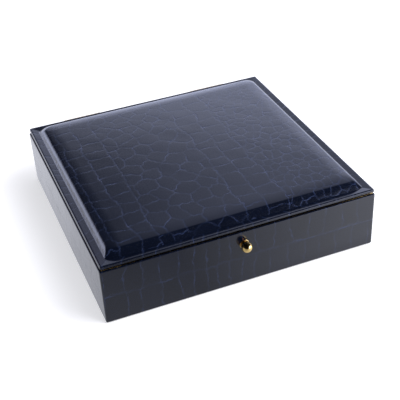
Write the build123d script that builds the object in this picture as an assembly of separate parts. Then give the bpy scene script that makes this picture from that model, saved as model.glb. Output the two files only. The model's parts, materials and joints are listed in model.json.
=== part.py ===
from build123d import *
import os
from math import asin, atan, degrees, sqrt

# Medal case, in millimetres. The origin is the middle of the underside, +Z is up and the front faces -Y.

# Case
case_width = 200.0
case_depth = 195.0
wall_top_z = 43.0
corner_r = 1.2
board_t = 6.0
bottom_t = 3.0
leather_t = 0.5
felt_t = 0.8
felt_inset = 3.0
turn_under = 12.0
gilt_t = 0.3
gilt_w = 3.6
gilt_inset = 1.3
mitre_reach = 9.75

# Lid
lid_gap = 2.0
lid_board_t = 1.0
lid_side_inset = 0.6
pad_border = 5.8
pad_corner_r = 6.5
pad_edge_r = 4.5
pad_h = 6.0
pad_crown = 1.2
pad_flank_w = 2.6
pad_flank_h = 3.6
pad_skin_t = 0.8
inner_board_t = 3.0
inner_board_clear = 0.9
satin_t = 4.0
satin_inset = 1.0
satin_edge_r = 2.5
satin_corner_r = 3.5

# Interior
lining_t = 1.5
lining_below_top = 1.5
velvet_t = 0.6
display_pad_z = 20.8
display_pad_t = 7.0
display_edge_r = 1.5
fit_clear = 0.3
medal_r = 37.0
medal_y = -22.0
ribbon_w = 40.0
ribbon_l = 62.0
bar_w = 12.0
bar_l = 46.0
bar_x = 62.0
pin_r = 13.0
pin_y = 48.0
finger_r = 11.0

# Hinges
hinge_inset = 45.0
hinge_l = 30.0
hinge_leaf_t = 0.6
hinge_leaf_w = 5.0
hinge_drop = 8.0
knuckles = 5
knuckle_gap = 0.2
hinge_pin_r = 0.8
hinge_pin_clear = 0.05
hinge_swing_clear = 0.15
heel_r = 3.2
heel_t = 0.6
stop_angle = 100.6
lid_screw_x = 9.0
back_screw_x = 11.8
back_screw_drop = 4.6

# Screws
screw_r = 0.8
screw_head_r = 1.5
screw_clear = 0.05
wall_screw_l = 5.0
lid_screw_l = 1.7

# Knob and catch
knob_x = 0.0
knob_below_top = 10.2
ball_r = 3.8
ball_flat = 1.75
knob_travel = 1.6
knob_spare = 0.2
collar_r = 1.95
collar_in = 1.2
stem_r = 1.2
bush_flange_r = 3.4
bush_flange_t = 0.4
bush_bevel = 0.2
bush_r = 2.8
bush_bore_clear = 0.1
bush_end_t = 1.7
run_clear = 0.05
spring_wire = 0.4
spring_turns = 5
wire_sides = 6
sleeve_r = 1.8
bolt_t = 1.0
bolt_w = 9.6
bolt_below = 3.0
rivet_r = 1.9
rivet_t = 0.5
frame_t = 0.8
frame_in_w = 10.0
frame_ear = 6.2
frame_below = 4.4
frame_above = 4.6
frame_depth = 7.0
frame_corner_r = 1.5
frame_side_clear = 0.1
hook_from_frame = 0.7
hook_t = 0.9
hook_w = 7.0
hook_over_sleeve = 0.5
nose_reach = 1.2
nose_h = 1.0
catch_bite = 0.8
catch_clear = 0.3
hook_foot_w = 14.0
hook_foot_l = 6.5
hook_screw_x = 4.8
notch_w = 18.0
notch_l = 7.2
window_clear = 0.5

# Length by which a cutting shape runs past the piece it cuts
past = 1.0

# Derived places
half_w = case_width / 2
half_d = case_depth / 2
board_w = case_width - 2 * leather_t
board_d = case_depth - 2 * leather_t
board_z = felt_t + leather_t
board_top_z = wall_top_z - leather_t
wall_t = leather_t + board_t
inner_w = case_width - 2 * wall_t
inner_d = case_depth - 2 * wall_t
floor_z = board_z + bottom_t
lid_z = wall_top_z + lid_gap
lid_core_z = lid_z + leather_t
lid_top_z = lid_core_z + lid_board_t + leather_t
lid_w = case_width - 2 * lid_side_inset
lined_w = inner_w - 2 * lining_t
lined_d = inner_d - 2 * lining_t
display_top_z = display_pad_z + display_pad_t
inner_board_w = lined_w - 2 * inner_board_clear
inner_board_d = lined_d - 2 * inner_board_clear
knob_z = wall_top_z - knob_below_top
front_y = -half_d
wall_in_y = front_y + wall_t
frame_in_y = wall_in_y + frame_t
bore_r = collar_r + bush_bore_clear
ball_back_r = sqrt(ball_r ** 2 - ball_flat ** 2)
ball_y = front_y - bush_flange_t - knob_travel - knob_spare - ball_flat
collar_end_y = front_y + collar_in
spring_seat_y = frame_in_y - bush_end_t
hook_y = frame_in_y + hook_from_frame
hook_z = knob_z + sleeve_r + hook_over_sleeve
nose_end_y = hook_y + hook_t + nose_reach
lip_z = hook_z + nose_h + catch_clear
lip_y = nose_end_y - catch_bite
bolt_y = nose_end_y + catch_clear + run_clear
bolt_top_z = lip_z + nose_h
foot_z = lid_z - hook_t
knuckle_r = hinge_pin_r + hinge_pin_clear + hinge_leaf_t
hinge_x = half_w - hinge_inset
hinge_y = half_d + hinge_leaf_t + hinge_swing_clear + knuckle_r
hinge_z = wall_top_z + lid_gap / 2
knuckle_l = (hinge_l - (knuckles - 1) * knuckle_gap) / knuckles
back_screw_z = wall_top_z - back_screw_drop
leaf_screw_y = half_d - hinge_leaf_w / 2


def block(x0, x1, y0, y1, z0, z1):
    middle = Pos((x0 + x1) / 2, (y0 + y1) / 2, (z0 + z1) / 2)
    return middle * Box(x1 - x0, y1 - y0, z1 - z0)


def slab(width, depth, z0, z1, r=0.0, lean=0.0):
    """A flat plate centred on the origin, with rounded corners and sides that lean in by an angle."""
    outline = RectangleRounded(width, depth, r) if r > 0 else Rectangle(width, depth)
    return extrude(Plane.XY.offset(z0) * outline, amount=z1 - z0, taper=lean)


def rod(x, z, y0, y1, r):
    """A cylinder along Y."""
    return Pos(x, (y0 + y1) / 2, z) * Rot(90, 0, 0) * Cylinder(r, y1 - y0)


def post(x, y, z0, z1, r):
    """A cylinder along Z."""
    return Pos(x, y, (z0 + z1) / 2) * Cylinder(r, z1 - z0)


def turned(points, x, y, z):
    """A body turned about an axis along +Y, from (distance along the axis, radius) points."""
    flat = [(r, along) for along, r in points]
    face = make_face(Polyline(*flat, close=True))
    return Pos(x, y, z) * revolve(face, Axis.Y)


def wall_quarters(ring):
    """Cuts a square ring into front, back, left and right pieces with mitred corners."""
    low = board_z - past
    corners = [(-half_w, -half_d), (half_w, -half_d), (half_w, half_d), (-half_w, half_d)]
    pieces = []
    for i in range(4):
        ax, ay = corners[i]
        bx, by = corners[(i + 1) % 4]
        inner_b = (bx - mitre_reach * bx / half_w, by - mitre_reach * by / half_d)
        inner_a = (ax - mitre_reach * ax / half_w, ay - mitre_reach * ay / half_d)
        wedge = make_face(Polyline((ax, ay), (bx, by), inner_b, inner_a, close=True))
        pieces.append(ring & extrude(Plane.XY.offset(low) * wedge, amount=wall_top_z))
    return pieces


def screw(length, head_t):
    """A countersunk screw, its head's flat face at z = 0, pointing to -Z."""
    outline = [(0, 0), (screw_head_r, 0), (screw_r, -head_t), (screw_r, -length)]
    face = make_face(Polyline(*outline, (0, -length), close=True))
    return revolve(Plane.XZ * face, Axis.Z)


def screw_hole(length, head_t):
    """The space of one screw, with clearance all round."""
    r = screw_r + screw_clear
    head = screw_head_r + screw_clear
    outline = [(0, screw_clear), (head, screw_clear), (head, 0), (r, -head_t), (r, -length - screw_clear)]
    face = make_face(Polyline(*outline, (0, -length - screw_clear), close=True))
    return revolve(Plane.XZ * face, Axis.Z)


def frame_screw_places():
    offset = frame_in_w / 2 + frame_t + frame_ear / 2
    return [Pos(knob_x + side * offset, frame_in_y, knob_z) * Rot(-90, 0, 0) for side in (-1, 1)]


def back_screw_places():
    places = []
    for side in (-1, 1):
        for end in (-1, 1):
            x = side * hinge_x + end * back_screw_x
            places.append(Pos(x, half_d + hinge_leaf_t, back_screw_z) * Rot(-90, 0, 0))
    return places


def lid_screw_places():
    places = []
    for side in (-1, 1):
        for end in (-1, 1):
            x = side * hinge_x + end * lid_screw_x
            places.append(Pos(x, leaf_screw_y, lid_z - hinge_leaf_t) * Rot(180, 0, 0))
    return places


def hook_screw_places():
    y = hook_y + hook_foot_l / 2 + hook_t / 2
    return [Pos(knob_x + side * hook_screw_x, y, foot_z) * Rot(180, 0, 0) for side in (-1, 1)]


def group(places, make, *sizes):
    return Compound(children=[place * make(*sizes) for place in places])


def cut_all(body, places, make, *sizes):
    for place in places:
        body -= place * make(*sizes)
    return body


# Base
def walls():
    ring = slab(board_w, board_d, board_z, board_top_z, corner_r - leather_t)
    ring -= slab(inner_w, inner_d, 0, case_width)
    front, right, back, left = wall_quarters(ring)
    front -= rod(knob_x, knob_z, front_y, wall_in_y + past, bush_r + run_clear)
    front = cut_all(front, frame_screw_places(), screw_hole, wall_screw_l, frame_t)
    back = cut_all(back, back_screw_places(), screw_hole, wall_screw_l, hinge_leaf_t)
    return front, right, back, left


def bottom_board():
    return slab(inner_w, inner_d, board_z, floor_z)


def wall_cover():
    """Leatherette round the walls, over their tops and a little way under the base."""
    cover = slab(case_width, case_depth, felt_t, wall_top_z, corner_r)
    cover -= slab(board_w, board_d, board_z, board_top_z, corner_r - leather_t)
    cover -= slab(inner_w, inner_d, board_z, case_width)
    cover -= slab(case_width - 2 * turn_under, case_depth - 2 * turn_under, 0, board_z)
    cover -= rod(knob_x, knob_z, front_y - past, wall_in_y, bush_r + run_clear)
    return cut_all(cover, back_screw_places(), screw_hole, wall_screw_l, hinge_leaf_t)


def base_felt():
    return slab(case_width - 2 * felt_inset, case_depth - 2 * felt_inset, 0, felt_t, corner_r)


def gilt_border():
    """A narrow gilt strip on top of the walls, left out where the hinge leaves lie."""
    outer_w = case_width - 2 * gilt_inset
    outer_d = case_depth - 2 * gilt_inset
    strip = slab(outer_w, outer_d, wall_top_z, wall_top_z + gilt_t)
    strip -= slab(outer_w - 2 * gilt_w, outer_d - 2 * gilt_w, 0, case_width)
    reach = hinge_l / 2 + fit_clear
    for side in (-1, 1):
        x = side * hinge_x
        strip -= block(x - reach, x + reach, half_d - 2 * wall_t, half_d, 0, case_width)
    return strip


def lining_cards():
    """Velvet-covered cards on the inside of the walls. The front one leaves room for the catch."""
    top = wall_top_z - lining_below_top
    sides = []
    for side in (-1, 1):
        x0, x1 = sorted((side * inner_w / 2, side * lined_w / 2))
        sides.append(block(x0, x1, -inner_d / 2, inner_d / 2, floor_z, top))
    back = block(-lined_w / 2, lined_w / 2, lined_d / 2, inner_d / 2, floor_z, top)
    front = block(-lined_w / 2, lined_w / 2, -inner_d / 2, -lined_d / 2, floor_z, top)
    reach = frame_in_w / 2 + frame_t + frame_ear + window_clear
    low = knob_z - frame_below - window_clear
    front -= block(knob_x - reach, knob_x + reach, -inner_d / 2, -lined_d / 2, low, case_width)
    return front, back, sides[0], sides[1]


def foam_block():
    size = 2 * fit_clear
    return slab(lined_w - size, lined_d - size, floor_z, display_pad_z - velvet_t)


def recess_velvet():
    size = 2 * fit_clear
    return slab(lined_w - size, lined_d - size, display_pad_z - velvet_t, display_pad_z)


def display_pad():
    """The velvet pad, cut through for a medal with its ribbon, a ribbon bar and a lapel pin."""
    size = 2 * fit_clear
    pad = slab(lined_w - size, lined_d - size, display_pad_z, display_top_z)
    pad = fillet(pad.edges().group_by(Axis.Z)[-1], display_edge_r)
    low = display_pad_z - past
    high = display_top_z + past
    cut = post(0, medal_y, low, high, medal_r)
    cut += block(-ribbon_w / 2, ribbon_w / 2, medal_y, medal_y + medal_r + ribbon_l, low, high)
    for side in (-1, 1):
        cut += post(side * medal_r, medal_y, low, high, finger_r)
    cut += block(bar_x - bar_w / 2, bar_x + bar_w / 2, medal_y - bar_l / 2, medal_y + bar_l / 2, low, high)
    cut += post(-bar_x, pin_y, low, high, pin_r)
    return pad - cut


def knob_bush():
    """A flanged tube through the front wall: the knob's collar and spring run in its wide bore."""
    back = wall_in_y + frame_t - front_y
    step = spring_seat_y - front_y
    end_r = stem_r + run_clear
    outline = [
        (-bush_flange_t, bore_r), (-bush_flange_t, bush_flange_r - bush_bevel),
        (-bush_flange_t + bush_bevel, bush_flange_r),
        (0, bush_flange_r), (0, bush_r), (back, bush_r), (back, end_r), (step, end_r), (step, bore_r),
    ]
    return turned(outline, knob_x, front_y, knob_z)


def catch_spring():
    """The coil spring between the knob's collar and the end of the bush, of six-sided wire."""
    length = spring_seat_y - collar_end_y - spring_wire
    coil_r = (bore_r + stem_r) / 2
    path = Helix(pitch=length / spring_turns, height=length, radius=coil_r)
    start = Plane(origin=path @ 0, z_dir=path % 0)
    wire = sweep(start * RegularPolygon(spring_wire / 2, wire_sides), path=path, is_frenet=True)
    return Pos(knob_x, collar_end_y + spring_wire / 2, knob_z) * Rot(-90, 0, 0) * wire


def catch_frame():
    """A channel on the inside of the front wall that guides the bolt and carries the closed lid."""
    side = frame_in_w / 2
    low = knob_z - frame_below
    ear = side + frame_t + frame_ear
    frame = block(-ear, ear, wall_in_y, frame_in_y, low, knob_z + frame_above)
    frame = fillet(frame.edges().filter_by(Axis.Y), frame_corner_r)
    for s in (-1, 1):
        x0, x1 = sorted((s * side, s * (side + frame_t)))
        frame += block(x0, x1, wall_in_y, wall_in_y + frame_depth, low, foot_z - frame_side_clear)
    frame = Pos(knob_x, 0, 0) * frame
    frame -= rod(knob_x, knob_z, wall_in_y - past, frame_in_y + past, bush_r + run_clear)
    return cut_all(frame, frame_screw_places(), screw_hole, wall_screw_l, frame_t)


# Knob
def knob():
    """Ball with a flat back, collar and stem turned in one piece, riveted over behind the bolt."""
    collar_end = collar_end_y - ball_y
    tail = bolt_y + bolt_t - ball_y
    with BuildSketch() as profile:
        with BuildLine():
            arc_end = (ball_back_r, ball_flat)
            ThreePointArc((0, -ball_r), (ball_r, 0), arc_end)
            Polyline(
                arc_end, (collar_r, ball_flat), (collar_r, collar_end), (stem_r, collar_end), (stem_r, tail),
                (rivet_r, tail), (rivet_r, tail + rivet_t), (0, tail + rivet_t), (0, -ball_r),
            )
        make_face()
    return Pos(knob_x, ball_y, knob_z) * revolve(profile.sketch, Axis.Y)


def stem_sleeve():
    """The spacer on the stem, which also stops the knob from coming out."""
    start = frame_in_y + catch_clear - front_y
    end = bolt_y - front_y
    hole = stem_r + run_clear / 2
    outline = [(start, hole), (start, sleeve_r), (end, sleeve_r), (end, hole)]
    return turned(outline, knob_x, front_y, knob_z)


def catch_bolt():
    """The sliding plate, with a lip that hangs over the nose of the hook."""
    side = bolt_w / 2
    plate = block(-side, side, bolt_y, bolt_y + bolt_t, knob_z - bolt_below, bolt_top_z)
    lip = block(-side, side, lip_y, bolt_y, lip_z, bolt_top_z)
    lead = lip.edges().filter_by(Axis.X).sort_by(Axis.Y)[:2].sort_by(Axis.Z)[-1]
    lip = chamfer(lead, catch_bite / 2)
    bolt = Pos(knob_x, 0, 0) * (plate + lip)
    return bolt - rod(knob_x, knob_z, bolt_y - past, bolt_y + bolt_t + past, stem_r + run_clear / 2)


# Lid
def lid_board():
    width = lid_w - 2 * leather_t
    board = slab(width, board_d, lid_core_z, lid_core_z + lid_board_t, corner_r - leather_t)
    board = cut_all(board, lid_screw_places(), screw_hole, lid_screw_l, hinge_leaf_t)
    return cut_all(board, hook_screw_places(), screw_hole, lid_screw_l, hook_t)


def lid_cover():
    """Leatherette over the edge of the lid board, under the padded top and a little way underneath."""
    cover = slab(lid_w, case_depth, lid_z, lid_top_z, corner_r)
    board_top = lid_core_z + lid_board_t
    cover -= slab(lid_w - 2 * leather_t, board_d, lid_core_z, board_top, corner_r - leather_t)
    cover -= slab(inner_board_w, inner_board_d, lid_z - past, lid_core_z)
    top_w = case_width - 2 * pad_border - turn_under
    top_d = case_depth - 2 * pad_border - turn_under
    cover -= slab(top_w, top_d, board_top, lid_top_z + past)
    return cut_all(cover, lid_screw_places(), screw_hole, lid_screw_l, hinge_leaf_t)


def crowned(inset, top_z, edge_r):
    """A cushion shape: sides that lean in, a slightly domed top and a soft shoulder."""
    width = case_width - 2 * (pad_border + inset)
    depth = case_depth - 2 * (pad_border + inset)
    dome_r = (width / 2) ** 2 / (2 * pad_crown)
    lean = degrees(atan(pad_flank_w / pad_flank_h))
    body = slab(width, depth, lid_top_z, top_z + past / 2, pad_corner_r - inset, lean)
    body &= Pos(0, 0, top_z - dome_r) * Sphere(dome_r)
    top_face = body.faces().sort_by(Axis.Z)[-1]
    return fillet(top_face.edges(), edge_r)


def pad_foam():
    return crowned(pad_skin_t, lid_top_z + pad_h - pad_skin_t, pad_edge_r - pad_skin_t)


def pad_cover():
    return crowned(0, lid_top_z + pad_h, pad_edge_r) - pad_foam()


def notch():
    """The room that the inner board and the satin leave round the catch."""
    side = notch_w / 2
    y = -inner_board_d / 2
    return block(knob_x - side, knob_x + side, y - past, y + notch_l, 0, lid_core_z)


def lid_inner_board():
    return slab(inner_board_w, inner_board_d, lid_core_z - inner_board_t, lid_core_z) - notch()


def lid_satin():
    top = lid_core_z - inner_board_t
    width = inner_board_w - 2 * satin_inset
    depth = inner_board_d - 2 * satin_inset
    pad = slab(width, depth, top - satin_t, top, satin_corner_r)
    pad = fillet(pad.edges().group_by(Axis.Z)[0], satin_edge_r)
    return pad - notch()


def catch_hook():
    """A bent plate under the lid whose nose slips under the lip of the bolt."""
    side = hook_w / 2
    foot_side = hook_foot_w / 2
    foot = block(-foot_side, foot_side, hook_y, hook_y + hook_foot_l, foot_z, lid_z)
    leg = block(-side, side, hook_y, hook_y + hook_t, hook_z, lid_z)
    nose = block(-side, side, hook_y, nose_end_y, hook_z, hook_z + nose_h)
    lead = nose.edges().filter_by(Axis.X).sort_by(Axis.Y)[-2:].sort_by(Axis.Z)[0]
    nose = chamfer(lead, nose_h / 2)
    hook = Pos(knob_x, 0, 0) * (foot + leg + nose)
    return cut_all(hook, hook_screw_places(), screw_hole, lid_screw_l, hook_t)


# Hinges
def knuckle_zones(wanted):
    """Start and end along X of every second knuckle, for one hinge centred on x = 0."""
    zones = []
    for i in range(knuckles):
        if i % 2 == wanted:
            start = -hinge_l / 2 + i * (knuckle_l + knuckle_gap)
            zones.append((start, start + knuckle_l))
    return zones


def barrel(x0, x1, r):
    return Pos((x0 + x1) / 2, hinge_y, hinge_z) * Rot(0, 90, 0) * Cylinder(r, x1 - x0)


def hinge_base_leaf(side):
    """An angle leaf: one leg on the wall top, one down the back wall, and its knuckles."""
    x = hinge_l / 2
    top_z = wall_top_z + hinge_leaf_t
    leaf = block(-x, x, half_d - hinge_leaf_w, half_d + hinge_leaf_t, wall_top_z, top_z)
    leaf += block(-x, x, half_d, half_d + hinge_leaf_t, wall_top_z - hinge_drop, top_z)
    for x0, x1 in knuckle_zones(0):
        leaf += barrel(x0, x1, knuckle_r)
        leaf += block(x0, x1, half_d, hinge_y, wall_top_z, top_z)
    leaf -= barrel(-x - past, x + past, hinge_pin_r + hinge_pin_clear)
    leaf = Pos(side * hinge_x, 0, 0) * leaf
    return cut_all(leaf, back_screw_places(), screw_hole, wall_screw_l, hinge_leaf_t)


def stop_heel(x0, x1):
    """A tongue on a lid knuckle that meets the base leaf when the lid is fully open."""
    gap_y = hinge_y - half_d - hinge_leaf_t
    lean = stop_angle - 90 - degrees(asin(gap_y / heel_r)) + degrees(asin(heel_t / 2 / heel_r))
    start = knuckle_r - hinge_leaf_t / 2
    tongue = Box(x1 - x0, heel_r - start, heel_t)
    tongue = Pos(0, (heel_r + start) / 2, 0) * tongue
    return Pos((x0 + x1) / 2, hinge_y, hinge_z) * Rot(lean, 0, 0) * tongue


def hinge_lid_leaf(side):
    """A flat leaf under the lid with its knuckles and stop heels."""
    x = hinge_l / 2
    low_z = lid_z - hinge_leaf_t
    near_y = hinge_y - knuckle_r - hinge_swing_clear
    leaf = block(-x, x, half_d - hinge_leaf_w, near_y, low_z, lid_z)
    for x0, x1 in knuckle_zones(1):
        leaf += barrel(x0, x1, knuckle_r)
        leaf += block(x0, x1, near_y, hinge_y, low_z, lid_z)
        leaf += stop_heel(x0, x1)
    leaf -= barrel(-x - past, x + past, hinge_pin_r + hinge_pin_clear)
    leaf = Pos(side * hinge_x, 0, 0) * leaf
    return cut_all(leaf, lid_screw_places(), screw_hole, lid_screw_l, hinge_leaf_t)


def hinge_pin(side):
    x = side * hinge_x
    reach = hinge_l / 2 + hinge_leaf_t
    pin = barrel(x - reach, x + reach, hinge_pin_r)
    return fillet(pin.edges().filter_by(GeomType.CIRCLE), hinge_pin_r / 3)


def all_parts():
    front, right, back, left = walls()
    lining_front, lining_back, lining_left, lining_right = lining_cards()
    return {
        "front_wall": front,
        "right_wall": right,
        "back_wall": back,
        "left_wall": left,
        "bottom_board": bottom_board(),
        "wall_cover": wall_cover(),
        "base_felt": base_felt(),
        "gilt_border": gilt_border(),
        "lining_front": lining_front,
        "lining_back": lining_back,
        "lining_left": lining_left,
        "lining_right": lining_right,
        "foam_block": foam_block(),
        "recess_velvet": recess_velvet(),
        "display_pad": display_pad(),
        "knob_bush": knob_bush(),
        "catch_spring": catch_spring(),
        "catch_frame": catch_frame(),
        "catch_frame_screws": group(frame_screw_places(), screw, wall_screw_l, frame_t),
        "knob": knob(),
        "stem_sleeve": stem_sleeve(),
        "catch_bolt": catch_bolt(),
        "lid_board": lid_board(),
        "lid_cover": lid_cover(),
        "pad_foam": pad_foam(),
        "pad_cover": pad_cover(),
        "lid_inner_board": lid_inner_board(),
        "lid_satin": lid_satin(),
        "catch_hook": catch_hook(),
        "catch_hook_screws": group(hook_screw_places(), screw, lid_screw_l, hook_t),
        "hinge_left_base_leaf": hinge_base_leaf(-1),
        "hinge_right_base_leaf": hinge_base_leaf(1),
        "hinge_left_lid_leaf": hinge_lid_leaf(-1),
        "hinge_right_lid_leaf": hinge_lid_leaf(1),
        "hinge_left_pin": hinge_pin(-1),
        "hinge_right_pin": hinge_pin(1),
        "hinge_base_screws": group(back_screw_places(), screw, wall_screw_l, hinge_leaf_t),
        "hinge_lid_screws": group(lid_screw_places(), screw, lid_screw_l, hinge_leaf_t),
    }


os.makedirs("parts", exist_ok=True)
for name, solid in all_parts().items():
    export_step(solid, f"parts/{name}.step")
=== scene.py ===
import json
import math

import bpy
import numpy as np
from mathutils import Matrix, Vector


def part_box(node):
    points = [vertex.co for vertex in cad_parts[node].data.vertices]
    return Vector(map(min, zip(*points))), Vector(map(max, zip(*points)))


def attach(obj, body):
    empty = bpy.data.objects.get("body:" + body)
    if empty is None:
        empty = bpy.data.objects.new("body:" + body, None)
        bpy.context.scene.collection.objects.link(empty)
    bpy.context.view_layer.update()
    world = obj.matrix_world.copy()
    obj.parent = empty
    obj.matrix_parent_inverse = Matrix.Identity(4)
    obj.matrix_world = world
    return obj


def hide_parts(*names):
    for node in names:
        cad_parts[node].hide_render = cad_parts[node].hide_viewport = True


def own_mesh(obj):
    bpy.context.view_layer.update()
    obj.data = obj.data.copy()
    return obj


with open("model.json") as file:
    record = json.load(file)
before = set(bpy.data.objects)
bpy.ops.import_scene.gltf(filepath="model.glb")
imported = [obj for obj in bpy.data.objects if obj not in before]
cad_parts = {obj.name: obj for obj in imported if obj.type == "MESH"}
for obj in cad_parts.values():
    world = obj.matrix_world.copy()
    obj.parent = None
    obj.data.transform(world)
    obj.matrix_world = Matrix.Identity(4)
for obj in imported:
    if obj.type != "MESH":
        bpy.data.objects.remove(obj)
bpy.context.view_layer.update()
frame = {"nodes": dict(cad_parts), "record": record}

# Sizes are in metres, and places come from the frame
MM = 0.001

# Leatherette covers: mesh step, thickness, how far they turn under and over the boards, and the lid's
# edge, which leans in, has a raised lip and dips into a valley before the padded top
SKIN_STEP = 0.6 * MM
LEATHER_T = 0.5 * MM
COVER_CORNER_R = 1.2 * MM
WALL_UNDER = 12.0 * MM
WALL_FOOT_R = 0.5 * MM
WALL_TOP_R = 0.8 * MM
EDGE_UNDER = 9.0 * MM
EDGE_OVER = 11.0 * MM
EDGE_LEAN = 0.4 * MM
EDGE_LIP = 0.1 * MM
EDGE_VALLEY = 0.45 * MM
EDGE_VALLEY_W = 6.6 * MM
EDGE_FOOT_R = 0.5 * MM
EDGE_LIP_R = 0.9 * MM
EDGE_VALLEY_R = 0.8 * MM

# Padded top: a straight flank rounds off over the foot, then a soft run-in ends in a slight crown.
# The leatherette is ruffled in a strip along the left and the right rim
PAD_SIDE_INSET = 0.3 * MM
PAD_END_INSET = 0.1 * MM
PAD_FORWARD = 0.7 * MM
PAD_SINK = 0.6 * MM
PAD_CORNER_R = 3.5 * MM
PAD_TOP_CORNER_R = 8.0 * MM
PAD_FOOT_W = 5.2 * MM
PAD_FOOT_SHARE = 0.76
PAD_FLANK_SHARE = 0.35
PAD_RUN_W = 15.0 * MM
PAD_CROWN = 1.2 * MM
PAD_DOME_POWER = 0.6
PAD_GRID_INSET = 16.0 * MM
PAD_FOOT_RINGS = 16
PAD_RING_POWER = 1.3
RUFFLE_RIM_W = 10.0 * MM
RUFFLE_FADE_W = 5.0 * MM

# Soft pads inside the case: how finely their edges round off, and the satin's folds and thin rim
VELVET_VOXEL = 0.8 * MM
SATIN_VOXEL = 0.9 * MM
SATIN_FOLD = 0.3 * MM
SATIN_FOLD_SIZE = 14.0 * MM
SATIN_RIM = 0.6 * MM
SATIN_RIM_POWER = 0.5

# Return spring of the knob: radius of the wire, its sides, and the coil's turns with their steps
WIRE_R = 0.2 * MM
WIRE_SIDES = 10
COIL_TURNS = 5
COIL_STEPS = 32

# Emboss: the length and the amount of the two waves that bend the scale borders, how strong the
# borders are and how that varies, a faint ripple, and how much a scale swells in its middle
SLOW_BEND = (26.0 * MM, 0.9 * MM)
FAST_BEND = (7.0 * MM, 0.35 * MM)
BORDER_STRENGTH = 0.65
BORDER_VARIES = 0.7
BORDER_FAINTEST = 0.3
FAINT_SIZE = 18.0 * MM
RIPPLE_SIZE = 22.0 * MM
RIPPLE = 0.03 * MM
SWELL = 0.1
SWELL_WIDTH = 4.5

# Fields of roundish scales on the lid, in millimetres: left, right, front, back, scale width and
# depth, and the scatter as a share of a scale
TOP_FIELDS = (
    (-64, 12, -115, 37, 15.0, 13.0, 0.26),
    (-64, 12, 37, 115, 12.5, 8.5, 0.26),
    (32, 115, -115, 45, 7.4, 8.2, 0.3),
    (32, 115, 45, 115, 8.5, 5.2, 0.3),
)
# Long lines from front to back, in millimetres, and the length of the scales between them
TOP_COLUMNS = (
    ((-115.0, -100.5, -85.5, -71.0, -56.0), 12.5),
    ((7.0, 21.5, 37.0), 13.0),
)
COLUMN_WAVES = ((0.8 * MM, 150.0 * MM), (0.35 * MM, 34.0 * MM))
COLUMN_REACH = 120.0 * MM
COLUMN_SCATTER = 0.16
COLUMN_TILT = 0.14

# Scales of the walls: their width, how much narrower they get near the middle of a side, the
# scatter, tilt and bow of their borders, and the waves of the line between the two rows
WALL_SCALE_W = 13.5 * MM
WALL_NARROWING = 4.5 * MM
WALL_SCATTER = 1.6 * MM
WALL_TILT = 0.10
WALL_BOW = 0.5 * MM
WALL_NARROW_PLACE = 0.42
WALL_NARROW_SPREAD = 0.2
ROW_WAVES = ((0.4 * MM, 43.0 * MM, 0.0), (0.2 * MM, 17.0 * MM, 1.0))
EDGE_SCALE_H = 60.0 * MM
POINTS_AT_ONCE = 20000

# Line along the front at half height: its width, where it grows clear towards the right and
# the left end as shares of the width, and its strength elsewhere. Its bluer ink at the right
# end is a painted highlight of the seam's edge
CREASE_W = 0.34 * MM
CREASE_RIGHT = (0.66, 0.72)
CREASE_LEFT = (0.05, 0.03)
CREASE_FAINT = 0.12

# Camera, solved from the straight edges of the case
FOCAL_PX = 884.0
FRAME_PX = 400.0
SENSOR_MM = 36.0
CAMERA_PLACE = (-0.1876, -0.5277, 0.3938)
CAMERA_TILT = 55.40
CAMERA_TURN = -20.16
CAMERA_ROLL = -3.44

# Floor, room and lamp
FLOOR_REACH = 6.0
FLOOR_COLOUR = (0.78, 0.78, 0.83)
FLOOR_GLOW = 0.47
FLOOR_MIRRORED = (0.88, 0.90, 1.0)
EVEN_COLOUR = (0.95, 0.96, 1.0)
EVEN_STRENGTH = 0.55
ROOM_COLOUR = (0.80, 0.86, 1.16)
WINDOW_DIRECTION = (0.80, -0.60, 0.0)
WINDOW_STRENGTH = 5.0
KEY_PLACE = (0.68, -0.48, 0.98)
KEY_TARGET = (0, 0, 0.03)
KEY_SIZE = 1.0
KEY_POWER = 17

# Colours, linear, and how far from the middle of the case the gilt comes out of its painted shade
WHITE = (1.0, 1.0, 1.0)
NAVY = (0.0032, 0.0052, 0.0140)
NAVY_DEEP = (0.0020, 0.0034, 0.0095)
GROOVE_BLUE = (0.022, 0.036, 0.095)
VELVET_DARK = (0.006, 0.011, 0.05)
VELVET_LIGHT = (0.020, 0.036, 0.13)
VELVET_SHEEN = (0.35, 0.45, 0.85)
GILT = (0.80, 0.56, 0.20)
# painted shade: the colour of the gilt along the middle of each side, where little light reaches it under
# the lid
GILT_SHADED = (0.07, 0.045, 0.018)
GILT_LIT_X = (72 * MM, 92 * MM)
GILT_LIT_Y = (70 * MM, 90 * MM)
BRASS = (0.70, 0.50, 0.20)
BRASS_DULL = (0.42, 0.27, 0.10)
POLISHED_BRASS = (0.86, 0.62, 0.24)
POLISHED_BRASS_DULL = (0.70, 0.45, 0.15)
STEEL = (0.58, 0.57, 0.55)
STEEL_DULL = (0.40, 0.38, 0.36)


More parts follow.
